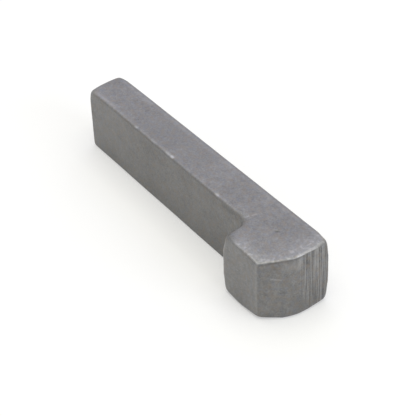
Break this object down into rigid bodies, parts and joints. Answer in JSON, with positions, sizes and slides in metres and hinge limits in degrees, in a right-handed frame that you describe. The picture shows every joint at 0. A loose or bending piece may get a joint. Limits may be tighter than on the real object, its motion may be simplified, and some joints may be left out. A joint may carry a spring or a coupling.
{
  "type": "gib head key",
  "caption": "Taper key with a gib head: a rectangular steel wedge that locks a hub to a shaft, with a sloped head to draw it out by.",
  "frame": {"origin": "on the seat face, straight below the shoulder, at mid width", "axes": "+X from the shoulder to the tip, +Y from the seat face to the nose, +Z across the width; the key lies on its lower cheek"},
  "size_m": [0.088, 0.018, 0.018],
  "materials": {
    "steel": "dull bare steel, matte, with bright worn edges and score marks on the end face"
  },
  "bodies": {
    "root": {"gib_head_key": "steel"}
  },
  "joints": []
}
